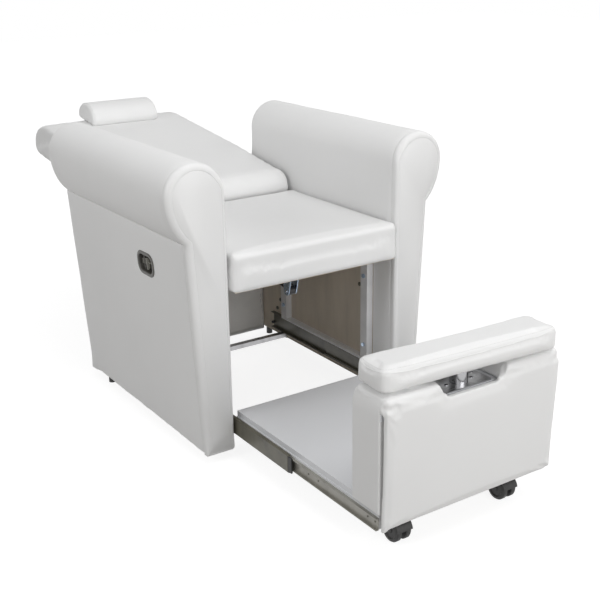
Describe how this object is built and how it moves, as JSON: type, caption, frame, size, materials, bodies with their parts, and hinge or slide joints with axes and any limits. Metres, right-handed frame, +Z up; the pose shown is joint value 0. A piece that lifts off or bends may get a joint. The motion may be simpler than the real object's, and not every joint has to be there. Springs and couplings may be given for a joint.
{
  "type": "pedicure spa chair",
  "caption": "Pedicure spa chair with rolled arms, a reclining back with head pillow, and a roll-out drawer on castors that carries a foot basin shelf and a padded footrest.",
  "frame": {"origin": "on the floor, under the middle of the whole chair with its drawer pulled out", "axes": "+X to the right seen from the front, +Y from the footrest towards the backrest, +Z up"},
  "size_m": [0.836, 1.9508, 0.783],
  "materials": {
    "upholstery": "white leatherette over foam, semi-matte",
    "raw_board": "bare plywood, dull",
    "white_board": "white laminated board, satin",
    "lining": "light grey lining over thin board",
    "white_paint": "white powder coat, satin",
    "plain_steel": "bare steel, satin",
    "zinc_steel": "zinc plated, bluish",
    "chrome": "polished chrome",
    "black_paint": "black paint, satin",
    "black_plastic": "black nylon, matte",
    "bronze": "dark bronze metal, satin"
  },
  "bodies": {
    "chair": {"left_arm_front": "upholstery", "right_arm_front": "upholstery", "left_arm_side": "upholstery", "right_arm_side": "upholstery", "left_arm_rear": "upholstery", "right_arm_rear": "upholstery", "left_arm_roll": "upholstery", "right_arm_roll": "upholstery", "left_arm_pad": "upholstery", "right_arm_pad": "upholstery", "arm_boards": "raw_board", "arm_bottoms": "raw_board", "arm_glides": "black_plastic", "front_posts": "white_paint", "rear_posts": "white_paint", "base_bars": "white_paint", "top_rails": "white_paint", "floor_crossbar": "plain_steel", "frame_bolts": "black_paint", "seat_board": "raw_board", "seat_cushion": "upholstery", "back_skirt": "lining", "hinge_plates": "plain_steel", "gas_spring_bracket": "zinc_steel", "gas_spring_pin": "plain_steel", "left_slide_outer": "zinc_steel", "right_slide_outer": "zinc_steel", "handle_cup": "bronze", "handle_pin": "plain_steel", "lever_spring": "plain_steel"},
    "gas_rod": {"gas_spring_rod": "black_paint"},
    "gas_cylinder": {"gas_spring_cylinder": "black_paint", "gas_spring_rear_pin": "zinc_steel"},
    "slide_middles": {"left_slide_middle": "zinc_steel", "right_slide_middle": "zinc_steel", "slide_bumpers": "black_plastic"},
    "lever": {"release_lever": "bronze"},
    "backrest": {"backrest_cushion": "upholstery", "backrest_board": "raw_board", "backrest_shaft": "plain_steel"},
    "pillow": {"head_pillow": "upholstery"},
    "drawer": {"left_slide_inner": "zinc_steel", "right_slide_inner": "zinc_steel", "drawer_shelf": "white_board", "shelf_battens": "white_board", "box_front": "upholstery", "box_sides": "upholstery", "box_rear": "white_board", "box_lid": "white_board", "box_top_pad": "upholstery", "box_bottom": "raw_board", "post_flange": "plain_steel", "flange_screws": "chrome"},
    "footrest_lift": {"footrest_post": "chrome"},
    "footrest": {"footrest_plate": "black_paint", "footrest_cushion": "upholstery"},
    "left_castor": {"left_castor_frame": "black_plastic"},
    "left_castor_roll": {"left_castor_wheels": "black_plastic"},
    "right_castor": {"right_castor_frame": "black_plastic"},
    "right_castor_roll": {"right_castor_wheels": "black_plastic"}
  },
  "joints": [
    {"name": "backrest_recline", "type": "hinge", "parent": "chair", "child": "backrest", "pos_m": [0, 0.19791, 0.552], "axis": [1, 0, 0], "range_deg": [0, 60]},
    {"name": "pillow_slide", "type": "slide", "parent": "backrest", "child": "pillow", "axis": [0, 0.9925, 0.1219], "range_m": [-0.1, 0.03]},
    {"name": "gas_spring_tilt", "type": "hinge", "parent": "chair", "child": "gas_rod", "pos_m": [0, -0.23009, 0.372], "axis": [1, 0, 0], "range_deg": [0, 0.95]},
    {"name": "gas_spring_stroke", "type": "slide", "parent": "gas_rod", "child": "gas_cylinder", "axis": [0, 0.989, 0.1481], "range_m": [0, 0.13]},
    {"name": "release_lever_pull", "type": "hinge", "parent": "chair", "child": "lever", "pos_m": [-0.35658, -0.08859, 0.48648], "axis": [0.0532, 0, -0.9986], "range_deg": [0, 22], "stiffness_Nm_per_rad": 0.3, "springref_deg": -2.86},
    {"name": "drawer_slide", "type": "slide", "parent": "chair", "child": "drawer", "axis": [0, -1, 0], "range_m": [-0.58, 0]},
    {"name": "slide_middles_slide", "type": "slide", "parent": "chair", "child": "slide_middles", "axis": [0, -1, 0], "range_m": [-0.29, 0]},
    {"name": "footrest_raise", "type": "slide", "parent": "drawer", "child": "footrest_lift", "axis": [0, 0, 1], "range_m": [0, 0.08]},
    {"name": "footrest_swivel", "type": "hinge", "parent": "footrest_lift", "child": "footrest", "pos_m": [-0.008, -0.91109, 0.388], "axis": [0, 0, 1], "range_deg": [-15, 15]},
    {"name": "left_castor_swivel", "type": "hinge", "parent": "drawer", "child": "left_castor", "pos_m": [-0.16, -0.91209, 0.08], "axis": [0, 0, 1], "continuous": true},
    {"name": "left_castor_roll", "type": "hinge", "parent": "left_castor", "child": "left_castor_roll", "pos_m": [-0.16, -0.89409, 0.028], "axis": [1, 0, 0], "continuous": true},
    {"name": "right_castor_swivel", "type": "hinge", "parent": "drawer", "child": "right_castor", "pos_m": [0.16, -0.91209, 0.08], "axis": [0, 0, 1], "continuous": true},
    {"name": "right_castor_roll", "type": "hinge", "parent": "right_castor", "child": "right_castor_roll", "pos_m": [0.16, -0.89409, 0.028], "axis": [1, 0, 0], "continuous": true}
  ],
  "couplings": [
    {"joint": "gas_spring_tilt", "follows": "backrest_recline", "ratio": 0.015},
    {"joint": "gas_spring_stroke", "follows": "backrest_recline", "m_per_rad": 0.121},
    {"joint": "slide_middles_slide", "follows": "drawer_slide", "ratio": 0.5}
  ]
}
